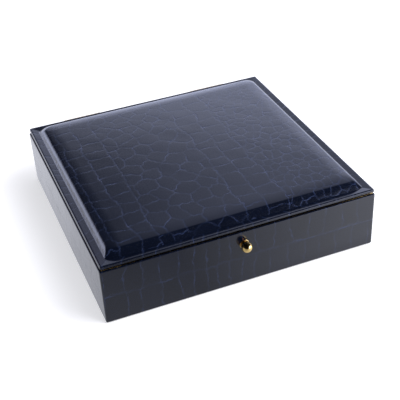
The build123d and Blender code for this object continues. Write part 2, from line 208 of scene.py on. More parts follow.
# Node building
class Nodes:
    """Short ways to build the node tree of a material or of the world."""

    # Sockets of the Mix node that carry colours
    MIX_LOW, MIX_HIGH, MIX_RESULT = 6, 7, 2

    def __init__(self, owner, output):
        owner.use_nodes = True
        self.owner = owner
        self.tree = owner.node_tree
        self.tree.nodes.clear()
        self.output = self.add(output)

    def add(self, kind, **values):
        node = self.tree.nodes.new("ShaderNode" + kind)
        for key, value in values.items():
            setattr(node, key, value)
        return node

    def link(self, source, target):
        self.tree.links.new(source, target)

    def feed(self, socket, value):
        """Gives a socket a number or a colour, or links an output to it."""
        if isinstance(value, bpy.types.NodeSocket):
            self.link(value, socket)
        elif isinstance(value, tuple):
            socket.default_value = (*value, 1)
        else:
            socket.default_value = value

    def surface(self, colour, roughness, metallic=0.0, **sockets):
        node = self.add("BsdfPrincipled")
        self.feed(node.inputs["Base Color"], colour)
        self.feed(node.inputs["Roughness"], roughness)
        self.feed(node.inputs["Metallic"], metallic)
        for key, value in sockets.items():
            self.feed(node.inputs[key.replace("_", " ")], value)
        self.link(node.outputs[0], self.output.inputs["Surface"])
        return node

    def place(self, scale=(1, 1, 1)):
        coordinates = self.add("TexCoord")
        mapping = self.add("Mapping")
        mapping.inputs["Scale"].default_value = scale
        self.link(coordinates.outputs["Object"], mapping.inputs["Vector"])
        return mapping.outputs[0]

    def noise(self, place, scale, detail=4.0, rough=0.55):
        node = self.add("TexNoise")
        self.feed(node.inputs["Scale"], scale)
        self.feed(node.inputs["Detail"], detail)
        self.feed(node.inputs["Roughness"], rough)
        self.link(place, node.inputs["Vector"])
        return node.outputs["Fac"]

    def cells(self, place, scale):
        node = self.add("TexVoronoi")
        self.feed(node.inputs["Scale"], scale)
        self.link(place, node.inputs["Vector"])
        return node.outputs["Distance"]

    def attribute(self, name):
        return self.add("Attribute", attribute_name=name).outputs["Fac"]

    def remap(self, value, source, target, curve="LINEAR"):
        """Turns the range between the two source numbers into the range between the two target numbers."""
        node = self.add("MapRange", interpolation_type=curve)
        for key, number in zip(("From Min", "From Max", "To Min", "To Max"), (*source, *target)):
            self.feed(node.inputs[key], number)
        self.link(value, node.inputs["Value"])
        return node.outputs[0]

    def ramp(self, value, source, target):
        return self.remap(value, source, target, "SMOOTHSTEP")

    def mix(self, factor, low, high):
        node = self.add("Mix", data_type="RGBA")
        self.feed(node.inputs[self.MIX_LOW], low)
        self.feed(node.inputs[self.MIX_HIGH], high)
        self.link(factor, node.inputs[0])
        return node.outputs[self.MIX_RESULT]

    def maths(self, operation, *values):
        """One operation over one value, or over several from the first to the last."""
        result = values[0]
        for value in values[1:] or (0.0,):
            node = self.add("Math", operation=operation)
            self.feed(node.inputs[0], result)
            self.feed(node.inputs[1], value)
            result = node.outputs[0]
        return result

    def split(self, vector):
        node = self.add("SeparateXYZ")
        self.link(vector, node.inputs[0])
        return node.outputs["X"], node.outputs["Y"]

    def bump(self, height, distance, below=None, strength=1.0):
        node = self.add("Bump")
        self.feed(node.inputs["Strength"], strength)
        self.feed(node.inputs["Distance"], distance)
        self.link(height, node.inputs["Height"])
        if below is not None:
            self.link(below, node.inputs["Normal"])
        return node.outputs[0]

    def light(self, kind, colour, strength):
        """A glowing surface (Emission) or a glowing surround (Background)."""
        node = self.add(kind)
        self.feed(node.inputs["Color"], colour)
        self.feed(node.inputs["Strength"], strength)
        return node.outputs[0]

    def towards(self, direction):
        """How far the looked-at direction leans towards the given one."""
        coordinates = self.add("TexCoord")
        node = self.add("VectorMath", operation="DOT_PRODUCT")
        self.link(coordinates.outputs["Generated"], node.inputs[0])
        node.inputs[1].default_value = direction
        return node.outputs["Value"]

    def choose(self, ray, others, these):
        """One shader for the named kind of ray and another for all other rays."""
        path = self.add("LightPath")
        node = self.add("MixShader")
        self.link(path.outputs[ray], node.inputs[0])
        self.link(others, node.inputs[1])
        self.link(these, node.inputs[2])
        return node.outputs[0]


def new_material(name):
    return Nodes(bpy.data.materials.new(name), "OutputMaterial")


# Materials
def leatherette():
    """Glossy embossed leatherette: navy scales with bluer ink in the grooves, fine pores and some wear."""
    s = new_material("leatherette")
    node = s.surface(NAVY, 0.16, Specular_IOR_Level=0.5, Coat_Weight=0.3, Coat_Roughness=0.08)
    place = s.place()
    groove = s.attribute("groove")
    cloud = s.noise(place, 45.0, 5.0)
    scales = s.mix(s.attribute("tint"), NAVY_DEEP, NAVY)
    scales = s.mix(s.remap(cloud, (0.35, 0.7), (0.0, 0.5)), scales, NAVY)
    worn = s.remap(s.noise(place, 160.0, 3.0), (0.3, 0.65), (0.45, 1.0))
    ink = s.maths("MULTIPLY", groove, worn)
    s.link(s.mix(ink, scales, GROOVE_BLUE), node.inputs["Base Color"])
    polish = s.remap(cloud, (0.3, 0.7), (0.13, 0.19))
    s.link(s.maths("ADD", polish, s.maths("MULTIPLY", groove, 0.16)), node.inputs["Roughness"])
    pores = s.bump(s.cells(place, 2600.0), 0.02 * MM, strength=0.35)
    grain = s.bump(s.noise(place, 900.0, 3.0), 0.03 * MM, pores, 0.5)
    s.link(grain, node.inputs["Normal"])
    return s.owner


def fibreboard():
    """Raw brown board with drawn-out fibres."""
    s = new_material("fibreboard")
    node = s.surface((0.42, 0.29, 0.17), 0.82)
    fibres = s.noise(s.place((220, 900, 900)), 1.0, 5.0)
    s.link(s.mix(fibres, (0.30, 0.20, 0.11), (0.50, 0.36, 0.22)), node.inputs["Base Color"])
    s.link(s.bump(s.noise(s.place(), 1400.0), 0.08 * MM), node.inputs["Normal"])
    return s.owner


def felt():
    """Dark pressed felt with loose fluff."""
    s = new_material("felt")
    node = s.surface((0.010, 0.013, 0.032), 0.95, Sheen_Weight=0.25, Sheen_Roughness=0.5)
    fluff = s.noise(s.place(), 700.0, 6.0, 0.7)
    s.link(s.mix(fluff, (0.005, 0.007, 0.02), (0.018, 0.024, 0.055)), node.inputs["Base Color"])
    s.link(s.bump(fluff, 0.25 * MM), node.inputs["Normal"])
    return s.owner


def velvet():
    """Short blue pile that leans in soft patches."""
    s = new_material("velvet")
    node = s.surface(VELVET_DARK, 0.9, Sheen_Weight=0.55, Sheen_Roughness=0.35, Sheen_Tint=VELVET_SHEEN)
    place = s.place()
    lean = s.remap(s.noise(place, 22.0, 3.0), (0.35, 0.65), (0.0, 1.0))
    pile = s.noise(place, 2400.0, 2.0)
    shade = s.maths("MULTIPLY", lean, s.remap(pile, (0.3, 0.7), (0.5, 1.0)))
    s.link(s.mix(shade, VELVET_DARK, VELVET_LIGHT), node.inputs["Base Color"])
    s.link(s.bump(pile, 0.2 * MM), node.inputs["Normal"])
    return s.owner


def satin():
    """Cream satin with a fine cross weave."""
    s = new_material("satin")
    node = s.surface((0.74, 0.70, 0.60), 0.42, Sheen_Weight=0.2, Anisotropic=0.5)
    threads = s.noise(s.place((300, 4200, 1200)), 1.0, 2.0)
    cross = s.noise(s.place((4200, 300, 1200)), 1.0, 2.0)
    weave = s.maths("ADD", s.maths("MULTIPLY", threads, 0.65), s.maths("MULTIPLY", cross, 0.35))
    s.link(s.mix(weave, (0.62, 0.58, 0.48), (0.82, 0.78, 0.68)), node.inputs["Base Color"])
    s.link(s.remap(threads, (0.3, 0.7), (0.36, 0.5)), node.inputs["Roughness"])
    s.link(s.bump(weave, 0.05 * MM), node.inputs["Normal"])
    return s.owner


def foam():
    """Pale foam with open bubbles."""
    s = new_material("foam")
    node = s.surface((0.75, 0.70, 0.52), 0.95)
    bubbles = s.cells(s.place(), 1500.0)
    s.link(s.mix(bubbles, (0.5, 0.46, 0.33), (0.80, 0.76, 0.60)), node.inputs["Base Color"])
    s.link(s.bump(bubbles, 0.3 * MM), node.inputs["Normal"])
    return s.owner


def metal(name, colour, dull, roughness, fineness):
    """Metal with faint tarnish and fine scratches. fineness is how close these lie along x, y and z."""
    s = new_material(name)
    node = s.surface(colour, roughness, 1.0)
    tarnish = s.remap(s.noise(s.place(), 260.0, 5.0), (0.42, 0.72), (0.0, 0.7))
    scratches = s.noise(s.place(tuple(400 * v for v in fineness)), 3.0, 6.0, 0.7)
    s.link(s.mix(tarnish, colour, dull), node.inputs["Base Color"])
    spread = s.remap(scratches, (0.3, 0.7), (0.7 * roughness, 1.5 * roughness))
    s.link(spread, node.inputs["Roughness"])
    s.link(s.bump(scratches, 0.012 * MM), node.inputs["Normal"])
    return s.owner


def gilt_strip():
    """Gilt border in painted shade along the middle of each side, where little light reaches it under the
    lid, keeping its own bright colour near the corners, where light reaches it, and at a few random
    flakes.
    """
    s = new_material("gilt")
    node = s.surface(GILT, 0.25, 1.0)
    place = s.place()
    x, y = s.split(place)
    reach_x = s.remap(s.maths("ABSOLUTE", x), GILT_LIT_X, (0.0, 1.0))
    reach_y = s.remap(s.maths("ABSOLUTE", y), GILT_LIT_Y, (0.0, 1.0))
    # painted shade along the middle of each side, fading out near the corners where light reaches the gilt
    corner = s.maths("MULTIPLY", reach_x, reach_y)
    flakes = s.remap(s.noise(place, 320.0, 5.0), (0.45, 0.62), (0.0, 1.0))
    bright = s.maths("MAXIMUM", corner, s.maths("MULTIPLY", flakes, 0.25))
    # mixes the painted shade with the gilt's own colour near the corners and at random flakes
    s.link(s.mix(bright, GILT_SHADED, GILT), node.inputs["Base Color"])
    s.link(s.remap(flakes, (0.0, 1.0), (0.42, 0.22)), node.inputs["Roughness"])
    s.link(s.bump(flakes, 0.02 * MM), node.inputs["Normal"])
    return s.owner


def make_materials():
    """One material for each slot of the record."""
    return {
        "leatherette": leatherette(),
        "board": fibreboard(),
        "felt": felt(),
        "gilt": gilt_strip(),
        "velvet": velvet(),
        "foam": foam(),
        "satin": satin(),
        "brass": metal("brass", BRASS, BRASS_DULL, 0.30, (1, 1, 6)),
        "polished_brass": metal("polished_brass", POLISHED_BRASS, POLISHED_BRASS_DULL, 0.09, (2, 6, 2)),
        "spring_steel": metal("spring_steel", STEEL, STEEL_DULL, 0.25, (6, 1, 1)),
    }


# Mesh building
def outline(width, depth, r, count_x, count_y):
    """Points round a rounded rectangle. Each side runs from the middle of one corner to the next."""
    r = max(r, 0.0)
    quarter = math.pi * r / 2
    points = []
    spans = ((width, depth, count_x), (depth, width, count_y)) * 2
    for k, (length, across, count) in enumerate(spans):
        straight = length - 2 * r
        along = np.arange(count) / count * (straight + quarter)
        x = np.empty(count)
        y = np.zeros(count)
        start = along < quarter / 2
        end = along > straight + quarter / 2
        middle = ~(start | end)
        x[middle] = along[middle] - quarter / 2 - straight / 2
        if r > 0:
            angle = (quarter / 2 - along[start]) / r
            x[start] = -straight / 2 - r * np.sin(angle)
            y[start] = r - r * np.cos(angle)
            angle = (along[end] - straight - quarter / 2) / r
            x[end] = straight / 2 + r * np.sin(angle)
            y[end] = r - r * np.cos(angle)
        side = np.stack([x, y - across / 2], axis=1)
        turn = k * math.pi / 2
        spin = np.array([[math.cos(turn), math.sin(turn)], [-math.sin(turn), math.cos(turn)]])
        points.append(side @ spin)
    return np.concatenate(points)


def smooth_profile(corners, step):
    """A closed path of (inset, z) points. Each corner is (inset, z, how far its rounding reaches)."""
    path = []
    count = len(corners)
    for i, (x, z, reach) in enumerate(corners):
        here = np.array([x, z])
        before = np.array(corners[i - 1][:2]) - here
        after = np.array(corners[(i + 1) % count][:2]) - here
        u = before / np.linalg.norm(before)
        v = after / np.linalg.norm(after)
        if reach <= 0:
            path.append(here)
            continue
        for t in np.linspace(0, 1, 6):
            path.append(here + u * reach * (1 - t) ** 2 + v * reach * t ** 2)
    fine = []
    for i, point in enumerate(path):
        following = path[(i + 1) % len(path)]
        pieces = max(1, int(round(np.linalg.norm(following - point) / step)))
        for j in range(pieces):
            fine.append(point + (following - point) * j / pieces)
    return np.array(fine)


def build_mesh(name, vertices, faces, material):
    """A smooth-shaded object from points and faces."""
    mesh = bpy.data.meshes.new(name)
    mesh.vertices.add(len(vertices))
    mesh.vertices.foreach_set("co", np.asarray(vertices, dtype=np.float32).ravel())
    sizes = np.array([len(f) for f in faces], dtype=np.int32)
    starts = np.concatenate([[0], np.cumsum(sizes)[:-1]]).astype(np.int32)
    mesh.loops.add(int(sizes.sum()))
    mesh.loops.foreach_set("vertex_index", np.concatenate([np.asarray(f, dtype=np.int32) for f in faces]))
    mesh.polygons.add(len(faces))
    mesh.polygons.foreach_set("loop_start", starts)
    mesh.polygons.foreach_set("loop_total", sizes)
    mesh.polygons.foreach_set("use_smooth", np.ones(len(faces), dtype=bool))
    mesh.update(calc_edges=True)
    mesh.validate()
    mesh.materials.append(material)
    piece = bpy.data.objects.new(name, mesh)
    bpy.context.collection.objects.link(piece)
    return piece


def ring_faces(rows, columns, closed_rows):
    """Quads between rings that close on themselves. closed_rows also joins the last ring to the first."""
    i = np.arange(rows if closed_rows else rows - 1)[:, None]
    j = np.arange(columns)[None, :]
    up = (i + 1) % rows
    across = (j + 1) % columns
    corners = (i * columns + j, i * columns + across, up * columns + across, up * columns + j)
    return np.stack([corner.ravel() for corner in corners], axis=1)


def grid_faces(count_x, count_y, ring_start, inner_start):
    """Quads of a grid whose rim is a ring of points and whose inner points follow row by row."""
    rim = 2 * (count_x + count_y)
    inner = np.arange((count_y - 1) * (count_x - 1))
    index = np.empty((count_y + 1, count_x + 1), dtype=int)
    index[1:-1, 1:-1] = inner_start + inner.reshape(count_y - 1, count_x - 1)
    index[0, :] = ring_start + np.arange(count_x + 1)
    index[:, -1] = ring_start + count_x + np.arange(count_y + 1)
    index[-1, ::-1] = ring_start + count_x + count_y + np.arange(count_x + 1)
    index[::-1, 0] = ring_start + (2 * count_x + count_y + np.arange(count_y + 1)) % rim
    corners = (index[:-1, :-1], index[:-1, 1:], index[1:, 1:], index[1:, :-1])
    return np.stack([corner.ravel() for corner in corners], axis=1)


def read_vectors(items, key):
    """One row of three numbers for each item of a mesh."""
    values = np.empty(len(items) * 3, dtype=np.float32)
    items.foreach_get(key, values)
    return values.reshape(-1, 3)


def write_places(mesh, places):
    mesh.vertices.foreach_set("co", places.ravel())
    mesh.update()


def push_out(mesh, height):
    """Moves every vertex along its normal."""
    normals = read_vectors(mesh.vertex_normals, "vector")
    places = read_vectors(mesh.vertices, "co")
    write_places(mesh, places + normals * height[:, None].astype(np.float32))


def fade(values, start, end):
    """0 up to the start, 1 from the end on, and a straight rise between them."""
    return np.clip((values - start) / (end - start), 0, 1)


def middle_weight(points, width, depth):
    """1 in the middle of a rectangle round the origin, and 0 on its rim."""
    u = np.clip(1 - (2 * points[:, 0] / width) ** 2, 0, 1)
    v = np.clip(1 - (2 * points[:, 1] / depth) ** 2, 0, 1)
    return u * v


def skin_counts(width, depth):
    """Mesh steps along the two sides of a rectangle."""
    return int(round(width / SKIN_STEP)), int(round(depth / SKIN_STEP))


# The embossed scale pattern
def random_wave(points, size, spread, rng):
    """One straight wave in a random direction, about as long as the given size."""
    direction = rng.normal(size=2)
    direction *= 2 * math.pi / size / np.linalg.norm(direction) * rng.uniform(*spread)
    return np.sin(points @ direction + rng.uniform(0, 2 * math.pi))


def wander(points, size, amount, seed):
    """Moves flat points by a smooth random wave, so that scale borders aren't straight."""
    rng = np.random.default_rng(seed)
    moved = points.copy()
    for axis in (0, 1):
        for _ in range(5):
            moved[:, axis] += amount / 2 * random_wave(points, size, (0.6, 1.5), rng)
    return moved


def smooth_noise(points, size, seed):
    """Soft hills and hollows between about -1 and 1."""
    rng = np.random.default_rng(seed)
    waves = 8
    return sum(random_wave(points, size, (0.5, 1.6), rng) for _ in range(waves)) / waves


def parts_of(count):
    """Slices that take points in parts small enough to be compared with every scale."""
    for start in range(0, count, POINTS_AT_ONCE):
        yield slice(start, start + POINTS_AT_ONCE)


def nearest_scales(points, seeds):
    """For each flat point: the distance to the nearest scale border and the number of its scale."""
    border = np.empty(len(points))
    which = np.empty(len(points), dtype=int)
    for part in parts_of(len(points)):
        away = ((points[part][:, None, :] - seeds[None, :, :]) ** 2).sum(axis=2)
        order = np.argpartition(away, 3, axis=1)[:, :4]
        close = np.take_along_axis(away, order, axis=1)
        ranked = np.argsort(close, axis=1)
        order = np.take_along_axis(order, ranked, axis=1)
        close = np.take_along_axis(close, ranked, axis=1)
        own = seeds[order[:, 0]]
        gaps = []
        for k in (1, 2, 3):
            apart = np.linalg.norm(seeds[order[:, k]] - own, axis=1)
            gaps.append((close[:, k] - close[:, 0]) / (2 * apart))
        border[part] = np.min(gaps, axis=0)
        which[part] = order[:, 0]
    return border, which


def scattered_scales(x0, x1, y0, y1, pitch_x, pitch_y, jitter, rng):
    """Middles of roundish scales in offset rows."""
    seeds = []
    rows = max(1, round((y1 - y0) / pitch_y))
    columns = max(1, round((x1 - x0) / pitch_x))
    for j in range(rows):
        for i in range(columns):
            shift = 0.25 if j % 2 else -0.25
            x = x0 + (i + 0.5 + shift + rng.uniform(-jitter, jitter)) * (x1 - x0) / columns
            y = y0 + (j + 0.5 + rng.uniform(-jitter, jitter)) * (y1 - y0) / rows
            seeds.append((x, y))
    return seeds


def column_scales(points, edges, length, rng):
    """Rows of nearly square scales between long wavy lines. Gives the distance to the nearest
    border and the number of the scale, for every point between the first line and the last."""
    x, y = points[:, 0], points[:, 1]
    lines = []
    for edge in edges:
        line = edge
        for amount, wave in COLUMN_WAVES:
            line = line + amount * np.sin(2 * math.pi * y / wave + rng.uniform(0, 6))
        lines.append(line)
    lines = np.array(lines)
    border = np.abs(lines - x).min(axis=0)
    column = (lines < x).sum(axis=0)
    number = column * 100
    for k in range(1, len(edges)):
        here = column == k
        middle = (edges[k - 1] + edges[k]) / 2
        cuts = -COLUMN_REACH + rng.uniform(0, 1) * length + np.arange(0, 2 * COLUMN_REACH, length)
        cuts = cuts + rng.uniform(-COLUMN_SCATTER, COLUMN_SCATTER, len(cuts)) * length
        tilts = rng.uniform(-COLUMN_TILT, COLUMN_TILT, len(cuts))
        own = y[here][:, None] - (cuts + tilts * (x[here][:, None] - middle))
        border[here] = np.minimum(border[here], np.abs(own).min(axis=1))
        number[here] += (own > 0).sum(axis=1)
    return border, number


def top_pattern(flat):
    """The scales of the lid: long columns at the left and right of the middle, rounder scales
    between them, and small scales towards the right edge and the back."""
    rng = np.random.default_rng(12)
    seeds = []
    for field in TOP_FIELDS:
        seeds += scattered_scales(*field, rng)
    border, number = nearest_scales(flat, np.array(seeds) * MM)
    for edges_mm, length_mm in TOP_COLUMNS:
        edges = np.array(edges_mm) * MM
        near, own = column_scales(flat, edges, length_mm * MM, rng)
        inside = (flat[:, 0] > edges[0]) & (flat[:, 0] < edges[-1])
        border = np.where(inside, near, np.minimum(border, near))
        number = np.where(inside, own + 1000, number)
    return border, number


def wall_cuts(width, depth, rng):
    """Where the upright scale borders of one row stand, along the way round the walls."""
    cuts = []
    place = 0.0
    while place < 2 * (width + depth):
        cuts.append(place)
        share = (place % (width + depth)) / (width + depth) * 2 % 1.0
        narrow = math.exp(-((share - WALL_NARROW_PLACE) / WALL_NARROW_SPREAD) ** 2)
        place += WALL_SCALE_W - WALL_NARROWING * narrow + rng.uniform(-WALL_SCATTER, WALL_SCATTER)
    return np.array(cuts)


def wall_pattern(flat, width, depth, height):
    """Two rows of scales that meet at half height, tall and narrow near the middle of each side."""
    rng = np.random.default_rng(31)
    along, up = flat[:, 0], flat[:, 1]
    half = height / 2
    middle = half
    for amount, wave, phase in ROW_WAVES:
        middle = middle + amount * np.sin(2 * math.pi * along / wave + phase)
    border = np.abs(up - middle)
    number = np.zeros(len(flat), dtype=int)
    for row in (0, 1):
        cuts = wall_cuts(width, depth, rng)
        tilts = rng.uniform(-WALL_TILT, WALL_TILT, len(cuts))
        bows = rng.uniform(-WALL_BOW, WALL_BOW, len(cuts))
        index = np.nonzero((up > middle) if row else (up <= middle))[0]
        for here in parts_of(len(index)):
            part = index[here]
            rise = (up[part] - (0.5 + row) * half) / half
            lean = tilts * (up[part][:, None] - half) + bows * np.cos(math.pi * rise)[:, None]
            away = along[part][:, None] - cuts - lean
            border[part] = np.minimum(border[part], np.abs(away).min(axis=1))
            number[part] = (away > 0).sum(axis=1) + 200 * row
    return border, number


def emboss(piece, flat, pattern, depth, line, seed, strong=None, ink=1.0):
    """Sinks the scale borders into the mesh. How deep each point lies and which shade its scale has
    are kept as attributes for the leatherette. strong adds lines that never fade."""
    bent = wander(wander(flat, *SLOW_BEND, seed), *FAST_BEND, seed + 1)
    border, which = pattern(bent)
    strength = BORDER_STRENGTH + BORDER_VARIES * smooth_noise(flat, FAINT_SIZE, seed + 2)
    groove = np.exp(-(border / line) ** 2) * np.clip(strength, BORDER_FAINTEST, 1.0)
    if strong is not None:
        groove = np.maximum(groove, strong(flat))
    swell = 1 - np.exp(-(border / (SWELL_WIDTH * line)) ** 2)
    ripple = RIPPLE * smooth_noise(flat, RIPPLE_SIZE, seed + 3)
    push_out(piece.data, depth * (-groove + SWELL * swell) + ripple)
    tint = np.random.default_rng(seed + 4).uniform(0, 1, which.max() + 1)[which]
    for name, values in (("groove", groove * ink), ("tint", tint)):
        layer = piece.data.attributes.new(name, "FLOAT", "POINT")
        layer.data.foreach_set("value", values.astype(np.float32))
    piece.data.update()


def ruffle(piece, flat, half_width, amount, size, seed):
    """Small waves in the leatherette where it is pulled down over the left and right shoulders."""
    sideways = np.abs(flat[:, 0]) - half_width
    near = fade(sideways, -RUFFLE_RIM_W, -RUFFLE_FADE_W)
    push_out(piece.data, near * amount * smooth_noise(flat, size, seed))


# Covers of leatherette
def loop_skin(name, width, depth, profile, material):
    """A closed skin swept round a rounded rectangle, and the flat place of every vertex: how far it
    lies along the way round and across the profile."""
    count_x, count_y = skin_counts(width, depth)
    edge = outline(width, depth, COVER_CORNER_R, count_x, count_y)
    run = np.linalg.norm(np.roll(edge, -1, axis=0) - edge, axis=1)
    along = np.concatenate([[0], np.cumsum(run)[:-1]])
    steps = np.linalg.norm(np.roll(profile, -1, axis=0) - profile, axis=1)
    across = np.concatenate([[0], np.cumsum(steps)[:-1]])
    rings = []
    flat = []
    for (inset, z), t in zip(profile, across):
        ring = outline(width - 2 * inset, depth - 2 * inset, COVER_CORNER_R - inset, count_x, count_y)
        rings.append(np.column_stack([ring, np.full(len(ring), z)]))
        flat.append(np.column_stack([along, np.full(len(along), t)]))
    faces = ring_faces(len(profile), len(edge), True)
    piece = build_mesh(name, np.concatenate(rings), faces, material)
    return piece, np.concatenate(flat)


def wall_skin(material):
    """The leatherette round the base: outer face, turned over the top and under the bottom."""
    lo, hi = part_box("wall_cover")
    width, depth, height = hi.x - lo.x, hi.y - lo.y, hi.z - lo.z
    inner_lo, inner_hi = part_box("bottom_board")
    wall = (width - (inner_hi.x - inner_lo.x)) / 2
    t = LEATHER_T
    corners = [
        (0, lo.z, WALL_FOOT_R), (0, hi.z, WALL_TOP_R), (wall, hi.z, 0), (wall, hi.z - t, 0),
        (t, hi.z - t, 0), (t, lo.z + t, 0), (WALL_UNDER, lo.z + t, 0), (WALL_UNDER, lo.z, 0),
    ]
    profile = smooth_profile(corners, SKIN_STEP)
    piece, flat = loop_skin("wall_leatherette", width, depth, profile, material)

    def pattern(points):
        return wall_pattern(points, width, depth, height)

    def crease(points):
        """The straight line along the front at half height, clear at the right end and the left. Its bluer
        ink at the right end is a painted highlight of the seam's edge.
        """
        share = points[:, 0] / width
        # painted highlight: the line's ink grows towards the right end, where the seam's edge catches
        # light
        clear = fade(share, *CREASE_RIGHT) + fade(share, *CREASE_LEFT)
        clear = np.where(share < 1.0, np.clip(clear, CREASE_FAINT, 1), 0)
        return clear * np.exp(-((points[:, 1] - height / 2) / CREASE_W) ** 2)

    emboss(piece, flat, pattern, depth=0.05 * MM, line=0.36 * MM, seed=40, strong=crease, ink=0.8)
    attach(piece, "base")
    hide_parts("wall_cover")


def flange_skin(material):
    """The leatherette round the edge of the lid board: it dips a little towards the padded top, and its
    outer face leans in."""
    lo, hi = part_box("lid_cover")
    width, depth = hi.x - lo.x, hi.y - lo.y
    t = LEATHER_T
    low = hi.z - EDGE_VALLEY
    inner = hi.z - 1.5 * t
    corners = [
        (0, lo.z, EDGE_FOOT_R), (EDGE_LEAN, hi.z + EDGE_LIP, EDGE_LIP_R),
        (EDGE_VALLEY_W, low, EDGE_VALLEY_R), (EDGE_OVER, low, 0), (EDGE_OVER, inner, 0),
        (2 * t, inner, 0), (2 * t, lo.z + t, 0), (EDGE_UNDER, lo.z + t, 0), (EDGE_UNDER, lo.z, 0),
    ]
    profile = smooth_profile(corners, SKIN_STEP / 2)
    piece, flat = loop_skin("flange_leatherette", width, depth, profile, material)

    def pattern(points):
        return wall_pattern(points, width, depth, EDGE_SCALE_H)

    emboss(piece, flat, pattern, depth=0.05 * MM, line=0.42 * MM, seed=60, ink=0.8)
    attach(piece, "lid")
    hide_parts("lid_cover")


# The padded top
def shoulder_rise(away, rise):
    """Height of the cushion at a distance from its foot: a sloping flank that rounds off, then a long
    soft run-in."""
    t = np.clip(away / PAD_FOOT_W, 0, 1)
    bend = np.clip(t - PAD_FLANK_SHARE, 0, 1)
    foot = 2 / (1 + PAD_FLANK_SHARE) * (t - bend ** 2 / (2 * (1 - PAD_FLANK_SHARE)))
    run = 1 - (1 - np.clip(away / PAD_RUN_W, 0, 1)) ** 2
    return rise * (PAD_FOOT_SHARE * foot + (1 - PAD_FOOT_SHARE) * run)


def pad_rings(rise):
    """For each ring of the cushion: its inset, its height, and how far it lies from the last ring
    along the skin."""
    foot = PAD_FOOT_W * np.linspace(0, 1, PAD_FOOT_RINGS) ** PAD_RING_POWER
    count = int((PAD_GRID_INSET - PAD_FOOT_W) / SKIN_STEP) + 1
    run = np.linspace(PAD_FOOT_W, PAD_GRID_INSET, count)[1:]
    insets = np.concatenate([foot, run])
    heights = shoulder_rise(insets, rise)
    steps = np.hypot(np.diff(insets), np.diff(heights))
    along = np.concatenate([[0], np.cumsum(steps)])
    return insets, heights, along[-1] - along


def pillow_mesh(name, lo, hi, material):
    """A closed cushion: rings up the round shoulder, then a grid over the slightly domed top. Also
    gives the flat place of every vertex, as in a skin that is laid out flat."""
    width = hi.x - lo.x - 2 * PAD_SIDE_INSET
    depth = hi.y - lo.y - 2 * PAD_END_INSET
    top_w = width - 2 * PAD_GRID_INSET
    top_d = depth - 2 * PAD_GRID_INSET
    rise = hi.z - lo.z - PAD_CROWN
    count_x, count_y = skin_counts(top_w, top_d)
    insets, heights, along_skin = pad_rings(rise)
    radii = np.interp(insets, (0, PAD_FOOT_W, PAD_GRID_INSET), (PAD_CORNER_R, PAD_TOP_CORNER_R, 0))

    def dome(points):
        return PAD_CROWN * middle_weight(points, width, depth) ** PAD_DOME_POWER

    places = []
    flat = []
    for inset, z, r, away in zip(insets, heights, radii, along_skin):
        ring = outline(width - 2 * inset, depth - 2 * inset, r, count_x, count_y)
        level = z / rise * (dome(ring) + PAD_SINK) + z - PAD_SINK
        places.append(np.column_stack([ring, level]))
        flat.append(outline(top_w + 2 * away, top_d + 2 * away, 0, count_x, count_y))
    rows = len(places)
    columns = len(places[0])
    grid_x = np.linspace(-top_w / 2, top_w / 2, count_x + 1)[1:-1]
    grid_y = np.linspace(-top_d / 2, top_d / 2, count_y + 1)[1:-1]
    inner = np.stack(np.meshgrid(grid_x, grid_y), axis=2).reshape(-1, 2)
    places.append(np.column_stack([inner, rise + dome(inner)]))
    flat.append(inner)
    shoulder = ring_faces(rows, columns, False)
    top = grid_faces(count_x, count_y, (rows - 1) * columns, rows * columns)
    underside = np.arange(columns)[::-1]
    middle = np.array([(lo.x + hi.x) / 2, (lo.y + hi.y) / 2 - PAD_FORWARD, lo.z])
    faces = [*shoulder, *top, underside]
    return build_mesh(name, np.concatenate(places) + middle, faces, material), np.concatenate(flat)


def pad_skin(material):
    """The padded top of the lid."""
    lo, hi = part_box("pad_cover")
    piece, flat = pillow_mesh("padded_top", lo, hi, material)
    emboss(piece, flat, top_pattern, depth=0.045 * MM, line=0.32 * MM, seed=12)
    ruffle(piece, flat, (hi.x - lo.x) / 2, amount=0.035 * MM, size=5.0 * MM, seed=90)
    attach(piece, "lid")
    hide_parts("pad_cover", "pad_foam")


# The soft pads inside the case
def softened(node, name, material, voxel, rounds):
    """A soft copy of a hard-edged node: its edges round off as cloth pulled over a former."""
    mesh = frame["nodes"][node].data.copy()
    mesh.name = name
    piece = bpy.data.objects.new(name, mesh)
    bpy.context.collection.objects.link(piece)
    remesh = piece.modifiers.new("remesh", "REMESH")
    remesh.mode = "VOXEL"
    remesh.voxel_size = voxel
    smooth = piece.modifiers.new("smooth", "SMOOTH")
    smooth.iterations = rounds
    smooth.factor = 0.5
    graph = bpy.context.evaluated_depsgraph_get()
    made = bpy.data.meshes.new_from_object(piece.evaluated_get(graph))
    piece.modifiers.clear()
    piece.data = made
    made.materials.clear()
    made.materials.append(material)
    made.polygons.foreach_set("use_smooth", np.ones(len(made.polygons), dtype=bool))
    return piece


def velvet_pad(material):
    """The velvet pad with the recesses for the medal and what goes with it."""
    piece = softened("display_pad", "velvet_display_pad", material, VELVET_VOXEL, 4)
    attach(piece, "base")
    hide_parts("display_pad")


def satin_pad(material):
    """The satin cushion inside the lid, with a thin rim and faint folds round it."""
    piece = softened("lid_satin", "satin_lining_pad", material, SATIN_VOXEL, 5)
    places = read_vectors(piece.data.vertices, "co")
    lo, hi = places.min(axis=0), places.max(axis=0)
    flat = places[:, :2].astype(float)
    lower = places[:, 2] < (lo[2] + hi[2]) / 2
    centred = flat - (0, (lo[1] + hi[1]) / 2)
    rim = 1 - middle_weight(centred, hi[0] - lo[0], hi[1] - lo[1]) ** SATIN_RIM_POWER
    folds = SATIN_FOLD * smooth_noise(flat, SATIN_FOLD_SIZE, 77)
    places[:, 2] += np.where(lower, (folds + SATIN_RIM) * rim, 0)
    write_places(piece.data, places)
    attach(piece, "lid")
    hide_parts("lid_satin")


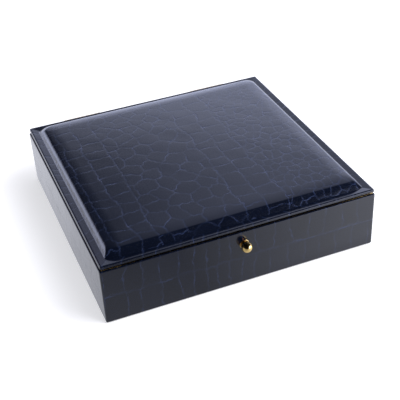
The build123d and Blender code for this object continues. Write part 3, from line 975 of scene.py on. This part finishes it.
# The return spring
def return_spring(material):
    """The coil spring behind the knob, of round wire."""
    lo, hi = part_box("catch_spring")
    rings = COIL_TURNS * COIL_STEPS
    coil_r = (hi.x - lo.x) / 2 - WIRE_R
    middle_x, middle_z = (lo.x + hi.x) / 2, (lo.z + hi.z) / 2
    angle = np.linspace(0, 2 * math.pi * COIL_TURNS, rings)[:, None]
    run = np.linspace(lo.y + WIRE_R, hi.y - WIRE_R, rings)[:, None]
    round_wire = (np.arange(WIRE_SIDES) / WIRE_SIDES * 2 * math.pi)[None, :]
    reach = coil_r + WIRE_R * np.cos(round_wire)
    x = middle_x + reach * np.cos(angle)
    y = run + WIRE_R * np.sin(round_wire)
    z = middle_z + reach * np.sin(angle)
    vertices = np.stack([x, y, z], axis=2).reshape(-1, 3)
    ends = [np.arange(WIRE_SIDES)[::-1], (rings - 1) * WIRE_SIDES + np.arange(WIRE_SIDES)]
    faces = [*ring_faces(rings, WIRE_SIDES, False), *ends]
    piece = build_mesh("return_spring", vertices, faces, material)
    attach(piece, "base")
    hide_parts("catch_spring")
    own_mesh(piece)


def dress_nodes(materials):
    """Gives every CAD node the material of its slot."""
    for sub in frame["record"]["subparts"]:
        node = frame["nodes"][sub["node"]]
        node.data.materials.clear()
        node.data.materials.append(materials[sub["material_slot"]])


# Camera, floor and light
def make_camera():
    data = bpy.data.cameras.new("camera")
    data.sensor_width = SENSOR_MM
    data.lens = FOCAL_PX / FRAME_PX * SENSOR_MM
    data.clip_start = 0.01
    camera = bpy.data.objects.new("camera", data)
    bpy.context.collection.objects.link(camera)
    turn = Matrix.Rotation(math.radians(CAMERA_TURN), 4, "Z")
    tilt = Matrix.Rotation(math.radians(CAMERA_TILT), 4, "X")
    roll = Matrix.Rotation(math.radians(CAMERA_ROLL), 4, "Z")
    camera.matrix_world = Matrix.Translation(CAMERA_PLACE) @ turn @ tilt @ roll
    bpy.context.scene.camera = camera


def mirrored_floor(s):
    """The floor as reflections see it: darker towards the front left, as on a table lit from the back
    and from the right, and bright just before the right half of the front."""
    x, y = s.split(s.place())
    slope = s.maths("SUBTRACT", s.maths("MULTIPLY", y, 2.0), x)
    far = s.remap(slope, (-0.4, 0.4), (0.3, 1.1))
    right = s.remap(x, (-0.03, 0.13), (0.0, 1.25))
    before = s.remap(y, (-0.11, -0.06), (1.0, 0.0))
    strength = s.maths("ADD", far, s.maths("MULTIPLY", right, before))
    return s.light("Emission", FLOOR_MIRRORED, strength)


def make_floor():
    """A pale floor that reads white where it is lit and keeps the soft shadow."""
    s = new_material("floor")
    lit = s.add("BsdfDiffuse")
    s.feed(lit.inputs["Color"], FLOOR_COLOUR)
    seen = s.add("AddShader")
    s.link(lit.outputs[0], seen.inputs[0])
    s.link(s.light("Emission", WHITE, FLOOR_GLOW), seen.inputs[1])
    direct = s.choose("Is Camera Ray", lit.outputs[0], seen.outputs[0])
    s.link(s.choose("Is Glossy Ray", direct, mirrored_floor(s)), s.output.inputs["Surface"])
    a = FLOOR_REACH
    corners = [(-a, -a, 0), (a, -a, 0), (a, a, 0), (-a, a, 0)]
    floor = build_mesh("floor", corners, [(0, 1, 2, 3)], s.owner)


def studio(s):
    """What glossy surfaces mirror: a bright backdrop low at the back, a soft panel over it at the right
    with a dimmer one under it, a window at the front right, and a dark room."""
    up = s.towards((0, 0, 1))
    back = s.towards((0, 1, 0))
    side = s.towards((1, 0, 0))
    backdrop = s.maths(
        "MULTIPLY",
        s.ramp(up, (0.12, 0.42), (1.0, 0.0)),
        s.ramp(side, (-0.3, 0.5), (2.5, 1.0)),
        s.ramp(back, (-0.1, 0.45), (0.0, 1.0)),
    )
    panel = s.maths(
        "MULTIPLY",
        s.ramp(side, (0.05, 0.40), (0.05, 0.74)),
        s.ramp(back, (0.30, 0.70), (0.04, 1.0)),
    )
    lower_panel = s.maths(
        "MULTIPLY",
        s.ramp(up, (0.44, 0.54), (1.0, 0.0)),
        s.ramp(side, (-0.05, 0.12), (0.0, 0.72)),
        s.ramp(back, (0.30, 0.60), (0.0, 1.0)),
    )
    window = s.ramp(s.towards(WINDOW_DIRECTION), (0.81, 0.90), (0.0, WINDOW_STRENGTH))
    return s.light("Background", ROOM_COLOUR, s.maths("ADD", backdrop, panel, lower_panel, window))


def make_world():
    """White to the camera, the studio to glossy surfaces, and even light for matt ones."""
    world = bpy.data.worlds.new("studio")
    bpy.context.scene.world = world
    s = Nodes(world, "OutputWorld")
    even = s.light("Background", EVEN_COLOUR, EVEN_STRENGTH)
    mirrored = s.choose("Is Glossy Ray", even, studio(s))
    white = s.light("Background", WHITE, 1.0)
    s.link(s.choose("Is Camera Ray", mirrored, white), s.output.inputs["Surface"])


def make_key_light():
    """A large soft lamp at the front right, kept out of reflections."""
    data = bpy.data.lights.new("key", "AREA")
    data.shape = "SQUARE"
    data.size = KEY_SIZE
    data.energy = KEY_POWER
    lamp = bpy.data.objects.new("key", data)
    bpy.context.collection.objects.link(lamp)
    lamp.location = KEY_PLACE
    aim = Vector(KEY_TARGET) - Vector(KEY_PLACE)
    lamp.rotation_euler = aim.to_track_quat("-Z", "Y").to_euler()
    lamp.visible_glossy = False


def main():
    bpy.context.scene.view_settings.view_transform = "Standard"
    make_camera()
    make_floor()
    make_world()
    make_key_light()
    materials = make_materials()
    dress_nodes(materials)
    wall_skin(materials["leatherette"])
    flange_skin(materials["leatherette"])
    pad_skin(materials["leatherette"])
    velvet_pad(materials["velvet"])
    satin_pad(materials["satin"])
    return_spring(materials["spring_steel"])


main()
